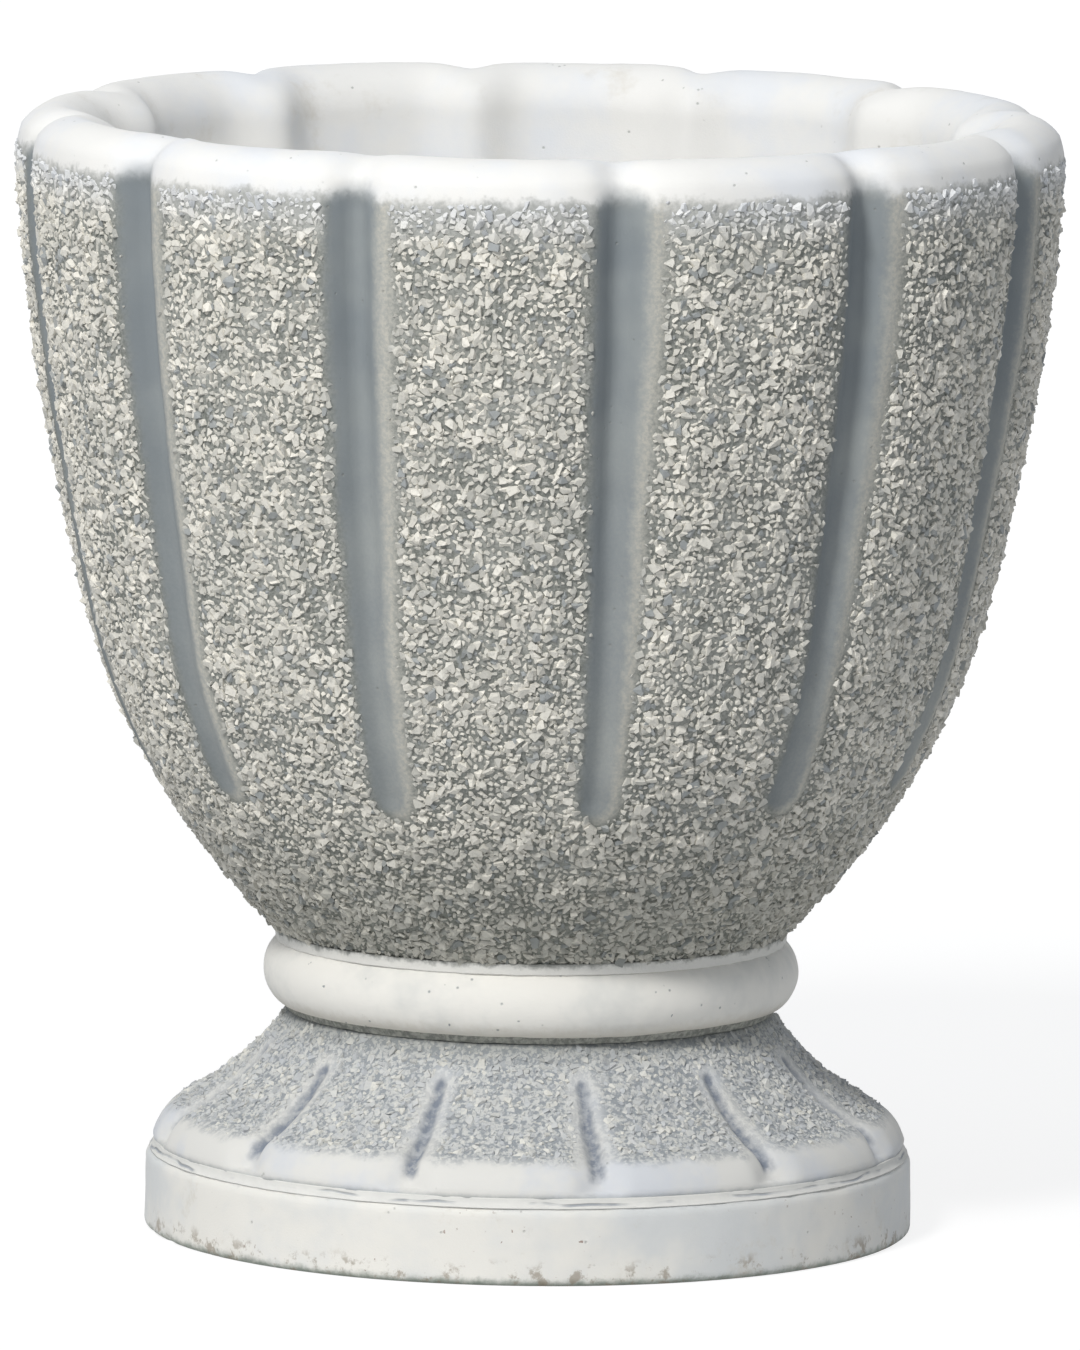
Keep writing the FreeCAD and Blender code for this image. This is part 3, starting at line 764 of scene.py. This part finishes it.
RIM_WHITE = shade(236, 235, 232)
COOL_WHITE = shade(226, 229, 234)
FLUTE_GREY = shade(135, 142, 146)
FLUTE_PALE = shade(157, 162, 162)
FLUTE_SHADOW = shade(120, 127, 132)
CEMENT_PALE = shade(176, 177, 172)
CEMENT_GREY = shade(140, 142, 137)
CEMENT_DARK = shade(120, 123, 118)
SMEAR_BEIGE = shade(196, 193, 183)
STAIN = shade(200, 192, 176)
GRIME = shade(92, 95, 82)
MARBLE_BRIGHT = shade(242, 238, 228)
MARBLE_DULL = shade(204, 202, 194)
MARBLE_BLUE = shade(158, 162, 163)
FOOT_WASH = shade(206, 207, 205)
FOOT_GREY = shade(154, 159, 164)
RUST_BROWN = shade(128, 96, 78)


def new_material(name, paint, metallic=0.0):
    """A material whose colour, roughness and bump come from paint."""
    material = bpy.data.materials.new(name)
    material.use_nodes = True
    graph = Graph(material.node_tree)
    surface = material.node_tree.nodes["Principled BSDF"]
    place = graph.add("ShaderNodeTexCoord").other("Object")
    colour, roughness, bump, strength = paint(graph, place)
    graph.feed(surface.inputs["Base Color"], colour)
    graph.feed(surface.inputs["Roughness"], roughness)
    inputs = {"Strength": strength, "Distance": MM, "Height": bump}
    graph.feed(surface.inputs["Normal"], graph.add("ShaderNodeBump", inputs=inputs))
    surface.inputs["Metallic"].default_value = metallic
    surface.inputs["Specular IOR Level"].default_value = 0.3
    return material


def mark(graph, word):
    """A value that the shaping left on the mesh."""
    return graph.add("ShaderNodeAttribute", {"attribute_name": word}).other("Fac")


def sand(graph, place):
    """Fine grains with a few pinholes, as cement cast in a mould has."""
    grains = graph.noise(place, 1.1 * MM, 4, 0.7)
    pits = 1 - graph.smooth(graph.cells(place, 7 * MM), 0.05, 0.14)
    rare = graph.smooth(graph.noise(place, 13 * MM, 1), 0.55, 0.62)
    return grains * 0.6 - pits * rare * 1.5, pits * rare


def paint_bowl(graph, place):
    _, _, z = place.split()
    waver = graph.sway(place, *BOWL_WAVER)
    side = BOWL_FLUTES.side(graph, place)
    fuzz = graph.sway(place, 5 * MM, 6 * MM, 4, 0.6)
    away, along = BOWL_FLUTES.away(graph, place, side + waver + fuzz)
    outside = mark(graph, "outside")
    ragged = z + graph.sway(place, *WASH_RAGGED) + graph.sway(place, 3 * MM, 8 * MM)
    below_rim = (1 - graph.smooth(ragged, BOWL_WASH_TOP - 6 * MM, BOWL_WASH_TOP + 3 * MM)) * outside
    on_left = left_of_flute(graph, side)
    close, clear = graph.between(on_left, 1.1, 0.8), graph.between(on_left, 1.8, 1.3)
    washed = graph.smooth(away, close, clear) * below_rim

    cloud = graph.noise(place, 60 * MM, 4, 0.6)
    white = graph.blend(graph.smooth(cloud, 0.42, 0.70) * 0.8, RIM_WHITE, COOL_WHITE)
    stained = graph.smooth(graph.noise(place, 38 * MM, 5, 0.65, 3.1), 0.55, 0.74) * (1 - outside)
    white = graph.blend(stained * 0.35, white, STAIN)
    # Between the flute and the chips the cement is smeared, paler on the flute's right. On its left the
    # grey is darker, partly real cement and partly painted shade where the lobe curves away from the
    # light
    grain = graph.smooth(graph.noise(place, 1.8 * MM, 4, 0.65), 0.36, 0.64)
    left = graph.blend(grain, CEMENT_DARK, CEMENT_GREY)
    right = graph.blend(grain, CEMENT_PALE, SMEAR_BEIGE)
    smear_and_shade = graph.blend(on_left, right, left)
    patch = graph.smooth(graph.noise(place, 30 * MM, 3, 0.6), 0.40, 0.66)
    matrix = graph.blend(grain * 0.6 + patch * 0.4, CEMENT_DARK, CEMENT_PALE)
    pale_top = graph.smooth(z + fuzz * 2, BOWL_WASH_TOP - 30 * MM, BOWL_WASH_TOP)
    matrix = graph.blend(pale_top * 0.6, matrix, FOOT_WASH)
    flute = graph.smooth(graph.noise(place, 50 * MM, 3, 0.5), 0.36, 0.72) * 0.8
    flute = graph.blend(flute, FLUTE_GREY, FLUTE_PALE)
    flute = graph.blend(graph.smooth(side, 2 * MM, -12 * MM) * 0.5, flute, FLUTE_SHADOW)
    in_flute = (1 - graph.smooth(away, 0.6, 1.25)) * outside * graph.between(along, 0.75, 1.0)
    fading = 1 - graph.smooth(z + fuzz, *FLUTE_FADES)
    colour = graph.blend(below_rim, white, smear_and_shade)
    colour = graph.blend(washed, colour, matrix)
    colour = graph.blend(in_flute * fading, colour, flute)
    low = 1 - graph.smooth(z + fuzz * 3, BOWL_LOW, BOWL_LOW + 110 * MM)
    colour = graph.blend(low * outside * 0.4, colour, GRIME)
    grains, pits = sand(graph, place)
    colour = graph.blend(pits * 0.5, colour, CEMENT_GREY)
    roughness = graph.between(below_rim, 0.62, 0.85)
    return colour, roughness, grains * graph.between(washed, 0.35, 1.4), 0.55


def paint_chips(graph, place):
    _, _, z = place.split()
    tone = mark(graph, "tone")
    room = mark(graph, "room")
    body = graph.blend(tone / 0.9, MARBLE_BRIGHT, MARBLE_DULL)
    body = graph.blend(graph.smooth(tone, 0.90, 0.93), body, MARBLE_BLUE)
    dust = graph.smooth(graph.noise(place, 2.4 * MM, 4, 0.65), 0.46, 0.72)
    colour = graph.blend(dust * 0.4, body, CEMENT_GREY)
    # Small bits near the flutes are half hidden under a skin of cement
    colour = graph.blend((1 - graph.smooth(room, 0.3, 1.0)) * 0.7, colour, CEMENT_PALE)
    patch = graph.smooth(graph.noise(place, 40 * MM, 3, 0.6), 0.45, 0.70)
    colour = graph.blend(patch * 0.25, colour, CEMENT_PALE)
    fuzz = graph.sway(place, 12 * MM, 12 * MM)
    colour = graph.blend(graph.smooth(z + fuzz, *CHIPS_WHITER) * 0.7, colour, COOL_WHITE)
    low = 1 - graph.smooth(z + fuzz * 2, BOWL_LOW, BOWL_LOW + 120 * MM)
    colour = graph.blend(low * 0.38, colour, GRIME)
    bump = graph.noise(place, 1.3 * MM, 3, 0.6)
    return colour, graph.between(dust, 0.45, 0.75), bump, 0.35


def paint_foot_chips(graph, place):
    tone = mark(graph, "tone")
    body = graph.blend(tone, shade(230, 228, 220), shade(196, 199, 202))
    dust = graph.smooth(graph.noise(place, 2.6 * MM, 4, 0.65), 0.48, 0.72)
    clouded = graph.smooth(graph.noise(place, 22 * MM, 3, 0.6, 4.4), 0.42, 0.62)
    colour = graph.blend(dust * 0.4 + clouded * 0.4, body, shade(178, 182, 187))
    _, _, z = place.split()
    high = graph.smooth(z, FOOT_TOP - 16 * MM, FOOT_TOP)
    colour = graph.blend(high * 0.45, colour, CEMENT_GREY)
    return colour, 0.7, graph.noise(place, 1.3 * MM, 3, 0.6), 0.35


def paint_foot(graph, place):
    _, _, z = place.split()
    waver = graph.sway(place, *FOOT_WAVER)
    side = FOOT_FLUTES.side(graph, place)
    fuzz = graph.sway(place, 5 * MM, 4 * MM, 4, 0.6)
    away, _ = FOOT_FLUTES.away(graph, place, side + waver + fuzz)
    patchy = graph.smooth(graph.noise(place, 7 * MM, 4, 0.65, 2.3), 0.36, 0.60)
    in_flute = (1 - graph.smooth(away, 0.15, 0.85)) * graph.between(patchy, 0.5, 1.0)
    ragged = z + graph.sway(place, 12 * MM, 7 * MM)
    washed = graph.smooth(ragged, FOOT_WASH_LOW - 2 * MM, FOOT_WASH_LOW + 5 * MM)
    grit = graph.noise(place, 2.8 * MM, 4, 0.65)
    stone = graph.blend(graph.smooth(grit, 0.44, 0.58), FOOT_GREY, FOOT_WASH)
    cloud = graph.smooth(graph.noise(place, 50 * MM, 4, 0.6), 0.42, 0.66)
    white = graph.blend(cloud, shade(224, 223, 219), shade(212, 215, 220))
    cleared = graph.between(graph.smooth(away, 0.9, 2.2), 0.35, 1.0)
    colour = graph.blend(washed * cleared, white, stone)
    started = graph.smooth(ragged, *FOOT_FLUTE_GREY)
    colour = graph.blend(in_flute * started, colour, shade(130, 137, 149))
    high = graph.smooth(z + fuzz, FOOT_TOP - 12 * MM, FOOT_TOP)
    colour = graph.blend(high * 0.5, colour, CEMENT_DARK)
    seam = 1 - graph.smooth(z + fuzz * 0.6, FOOT_LOW, FOOT_LOW + 4 * MM)
    colour = graph.blend(seam * 0.6, colour, FLUTE_GREY)
    grains, pits = sand(graph, place)
    colour = graph.blend(pits * 0.4, colour, CEMENT_GREY)
    return colour, 0.75, grains * graph.between(washed, 0.35, 1.2) + washed * grit, 0.5


def paint_collar(graph, place):
    _, _, z = place.split()
    cloud = graph.noise(place, 45 * MM, 4, 0.6)
    colour = graph.blend(graph.smooth(cloud, 0.42, 0.68), shade(240, 238, 232), shade(224, 224, 220))
    fuzz = graph.sway(place, 6 * MM, 9 * MM, 5, 0.65)
    top = graph.smooth(z + fuzz, COLLAR_TOP - 3 * MM, COLLAR_TOP + 2 * MM)
    colour = graph.blend(top * 0.2, colour, CEMENT_GREY)
    under = 1 - graph.smooth(z + fuzz, COLLAR_LOW, COLLAR_LOW + 8 * MM)
    colour = graph.blend(under * 0.45, colour, STAIN)
    grains, pits = sand(graph, place)
    spots = graph.smooth(graph.noise(place, 5 * MM, 2, 0.5, 1.7), 0.735, 0.77)
    colour = graph.blend(graph.most(pits * 0.7, spots * 0.8), colour, FLUTE_GREY)
    return colour, 0.62, grains * 0.4 - spots, 0.5


def paint_plinth(graph, place):
    _, _, z = place.split()
    cloud = graph.noise(place, 70 * MM, 4, 0.6)
    colour = graph.blend(graph.smooth(cloud, 0.40, 0.66), shade(236, 234, 228), shade(220, 222, 222))
    fuzz = graph.sway(place, 7 * MM, 10 * MM, 5, 0.65)
    foot = 1 - graph.smooth(z + fuzz * 0.7, PLINTH_LOW, PLINTH_LOW + 5 * MM)
    colour = graph.blend(foot * 0.9, colour, shade(128, 138, 128))
    worn = 1 - graph.smooth(z + fuzz, PLINTH_LOW + 6 * MM, PLINTH_LOW + 14 * MM)
    worn = worn * graph.smooth(graph.noise(place, 12 * MM, 5, 0.7, 7.9), 0.52, 0.62)
    colour = graph.blend(worn * 0.7, colour, shade(150, 138, 122))
    stains = graph.smooth(graph.noise(place, 24 * MM, 5, 0.7, 5.3), 0.58, 0.74)
    colour = graph.blend(stains * 0.35, colour, STAIN)
    spots = graph.smooth(graph.noise(place, 3.5 * MM, 3, 0.6, 2.9), 0.67, 0.73)
    patch = graph.smooth(graph.noise(place, 40 * MM, 2, 0.5, 4.2), 0.48, 0.60)
    colour = graph.blend(spots * patch * 0.8, colour, RUST_BROWN)
    top = graph.smooth(z + fuzz * 0.5, PLINTH_TOP - 3 * MM, PLINTH_TOP)
    colour = graph.blend(top * 0.35, colour, FLUTE_GREY)
    grains, pits = sand(graph, place)
    colour = graph.blend(pits * 0.45, colour, CEMENT_GREY)
    return colour, 0.66, grains * 0.45, 0.5


def paint_slurry(graph, place):
    _, _, z = place.split()
    cloud = graph.noise(place, 9 * MM, 3, 0.6)
    colour = graph.blend(cloud, shade(214, 214, 211), shade(234, 233, 228))
    # The seam shows through as a thin crack that wanders up and down and closes in places
    drift = graph.sway(place, 55 * MM, 7 * MM, 3, 0.6, 1.9)
    crack = 1 - graph.smooth(abs(z - (PLINTH_TOP + 0.6 * MM) - drift), 0.1 * MM, 0.9 * MM)
    crack = crack * graph.smooth(graph.noise(place, 40 * MM, 3, 0.6, 8.2), 0.44, 0.60)
    return graph.blend(crack * 0.8, colour, shade(144, 151, 162)), 0.75, cloud * 0.4 - crack * 1.2, 0.6


def paint_mortar(graph, place):
    lumps = graph.noise(place, 3 * MM, 5, 0.65)
    colour = graph.blend(graph.smooth(lumps, 0.4, 0.64), shade(132, 134, 128), shade(176, 176, 168))
    return colour, 0.88, lumps, 0.8


def paint_upper_mortar(graph, place):
    """The bowl's bed is white like the collar, up to a ragged grey edge under the chips."""
    _, _, z = place.split()
    lumps = graph.noise(place, 3 * MM, 5, 0.65)
    fuzz = graph.sway(place, 7 * MM, 10 * MM, 4, 0.65)
    grey = graph.smooth(z + fuzz, BOWL_LOW - 2 * MM, BOWL_LOW + 1.5 * MM)
    return graph.blend(grey * 0.8, shade(228, 227, 222), CEMENT_GREY), 0.8, lumps, 0.6


def paint_pipe(graph, place):
    scuffs = graph.smooth(graph.noise(place, 9 * MM, 4, 0.6), 0.5, 0.68)
    colour = graph.blend(scuffs, shade(96, 99, 102), shade(126, 126, 122))
    return colour, graph.between(scuffs, 0.38, 0.65), scuffs, 0.15


def paint_dowel(graph, place):
    brushed = graph.noise(place, 2 * MM, 3, 0.6)
    colour = graph.blend(brushed, shade(150, 150, 150), shade(186, 184, 180))
    return colour, graph.between(brushed, 0.3, 0.5), brushed, 0.1


def paint_bar(graph, place):
    rust = graph.smooth(graph.noise(place, 12 * MM, 5, 0.7), 0.42, 0.62)
    colour = graph.blend(rust, shade(88, 84, 82), shade(128, 78, 54))
    return colour, graph.between(rust, 0.5, 0.85), rust, 0.4


def give_hidden_pieces_their_finish():
    """The pieces that the castings hide keep their own solids and get their finish."""
    finishes = {
        "drain_tube": new_material("grey_drain_pipe", paint_pipe),
        "dowels": new_material("bright_steel_rod", paint_dowel, metallic=1.0),
        "plinth_mortar": new_material("bedding_mortar", paint_mortar),
    }
    bars = new_material("rusted_bar", paint_bar, metallic=0.4)
    for name, node in frame["nodes"].items():
        finish = bars if name.endswith("_hoop") else finishes.get(name)
        if finish:
            node.data.materials.clear()
            node.data.materials.append(finish)
    return finishes["plinth_mortar"]


# ---- Setting the object out ----


def build_urn():
    mortar = give_hidden_pieces_their_finish()
    bowl = make_bowl_casting()
    foot = make_foot_casting()
    shelf = chip_patterns()
    chips = new_material("marble_chips", paint_chips)
    bowl_wash = Wash(
        bowl, BOWL_FLUTES, BOWL_LOW - 4 * MM, BOWL_WASH_TOP,
        spacing=2.45 * MM, small=2.7 * MM, large=6.6 * MM, flat=0.7, sunk=0.1,
    )
    foot_wash = Wash(
        foot, FOOT_FLUTES, FOOT_WASH_LOW, FOOT_WASH_TOP,
        spacing=2.6 * MM, small=2.2 * MM, large=5.4 * MM, flat=0.6, sunk=0.13,
    )
    scatter_chips("bowl_chips_lobe", bowl_wash, shelf, chips)
    foot_chips = new_material("whitewashed_chips", paint_foot_chips)
    scatter_chips("foot_chips_lobe", foot_wash, shelf, foot_chips)
    for chip in list(shelf.objects):
        bpy.data.objects.remove(chip)
    bpy.data.collections.remove(shelf)
    finish_piece(bowl, new_material("washed_bowl_cement", paint_bowl), "washed_concrete", "bowl")
    finish_piece(foot, new_material("washed_foot_cement", paint_foot), "washed_concrete", "foot")
    collar = make_collar_casting()
    finish_piece(collar, new_material("white_collar_cement", paint_collar), "smooth_concrete", "collar")
    plinth = make_plinth_casting()
    finish_piece(plinth, new_material("white_plinth_cement", paint_plinth), "smooth_concrete", "plinth")
    slurry = make_slurry_bed()
    finish_piece(slurry, new_material("white_slurry", paint_slurry), "mortar", "plinth_mortar")
    low, high = height_of("bowl_mortar")
    bowl_bed = make_bed("bowl_mortar_bed", (low - 0.8 * MM, high + 0.8 * MM), 127.9 * MM, 128.3 * MM)
    finish_piece(bowl_bed, new_material("white_mortar", paint_upper_mortar), "mortar", "bowl_mortar")
    foot_bed = make_bed("foot_mortar_bed", height_of("foot_mortar"), 122.0 * MM, 124.0 * MM)
    finish_piece(foot_bed, mortar, "mortar", "foot_mortar")


# ---- Camera, lights and floor ----

CAMERA_AROUND = math.radians(-99.1)
CAMERA_AWAY = 9.0
CAMERA_HEIGHT = 1.477
AIM_HEIGHT = 0.278
AIM_RIGHT = 3 * MM
CAMERA_ROLL = math.radians(0.7)
CAMERA_LENS = 484.2
LAMPS_AIM_HEIGHT = 0.3

FLOOR_SIZE = 80
FLOOR_PALE = (0.72, 0.72, 0.72, 1.0)
WHITE = (1.0, 1.0, 1.0, 1.0)
SKY_FILL = (0.88, 0.93, 1.0, 1.0)
FILL_STRENGTH = 0.35
FLOOR_GLOW = 1.25


def place_camera():
    away = Vector((math.cos(CAMERA_AROUND), math.sin(CAMERA_AROUND), 0))
    right = Vector((-away.y, away.x, 0))
    spot = away * CAMERA_AWAY + Vector((0, 0, CAMERA_HEIGHT))
    aim = right * AIM_RIGHT + Vector((0, 0, AIM_HEIGHT))
    data = bpy.data.cameras.new("camera")
    data.lens = CAMERA_LENS
    data.sensor_width = 36
    data.clip_end = 100
    camera = bpy.data.objects.new("camera", data)
    bpy.context.scene.collection.objects.link(camera)
    look = (aim - spot).to_track_quat("-Z", "Y").to_matrix().to_4x4()
    camera.matrix_world = Matrix.Translation(spot) @ look @ Matrix.Rotation(CAMERA_ROLL, 4, "Z")
    bpy.context.scene.camera = camera


def place_lamp(name, spot, size, watts, colour):
    data = bpy.data.lights.new(name, "AREA")
    data.size = size
    data.energy = watts
    data.color = colour
    lamp = bpy.data.objects.new(name, data)
    bpy.context.scene.collection.objects.link(lamp)
    lamp.location = spot
    aim = Vector((0, 0, LAMPS_AIM_HEIGHT)) - Vector(spot)
    lamp.rotation_euler = aim.to_track_quat("-Z", "Y").to_euler()


def seen_straight_on(graph):
    """1 for what the camera sees, also through and off a shiny piece, and 0 for stray light."""
    path = graph.add("ShaderNodeLightPath")
    seen = graph.most(path.other("Is Camera Ray"), path.other("Is Glossy Ray"))
    return graph.most(seen, path.other("Is Transmission Ray"))


def set_studio():
    """A pale floor, an even surround, and two soft lamps, the stronger high on the left."""
    world = bpy.data.worlds.new("studio")
    bpy.context.scene.world = world
    world.use_nodes = True
    graph = Graph(world.node_tree)
    world.node_tree.nodes.clear()
    seen = seen_straight_on(graph)
    fill = graph.add("ShaderNodeBackground", inputs=[SKY_FILL, FILL_STRENGTH])
    white = graph.add("ShaderNodeBackground", inputs=[WHITE, 1.0])
    surround = graph.add("ShaderNodeMixShader", inputs=[seen, fill, white])
    graph.add("ShaderNodeOutputWorld", inputs=[surround])
    place_lamp("key_lamp", (-2.3, -3.3, 3.9), 1.0, 196, (1.0, 0.985, 0.955))
    place_lamp("sky_lamp", (-0.8, -0.8, 4.5), 3.0, 27, (0.93, 0.96, 1.0))

    start_fresh()
    bpy.ops.mesh.primitive_plane_add(size=FLOOR_SIZE, location=(0, 0, 0))
    floor = bpy.context.object
    floor.name = "floor"
    material = bpy.data.materials.new("pale_floor")
    material.use_nodes = True
    graph = Graph(material.node_tree)
    material.node_tree.nodes.clear()
    seen = seen_straight_on(graph)
    matt = graph.add("ShaderNodeBsdfDiffuse", inputs=[FLOOR_PALE])
    glow = graph.add("ShaderNodeEmission", inputs=[WHITE, FLOOR_GLOW])
    # The floor glows a little more with distance, so that it stays white up to the horizon
    place = graph.add("ShaderNodeTexCoord").other("Object")
    share = graph.between(graph.smooth(place.by("LENGTH"), 0.6, 3.0), 0.66, 0.8)
    both = graph.add("ShaderNodeMixShader", inputs=[seen * share, matt, glow])
    graph.add("ShaderNodeOutputMaterial", inputs=[both])
    floor.data.materials.append(material)
    bpy.context.scene.view_settings.view_transform = "Standard"


place_camera()
set_studio()
build_urn()
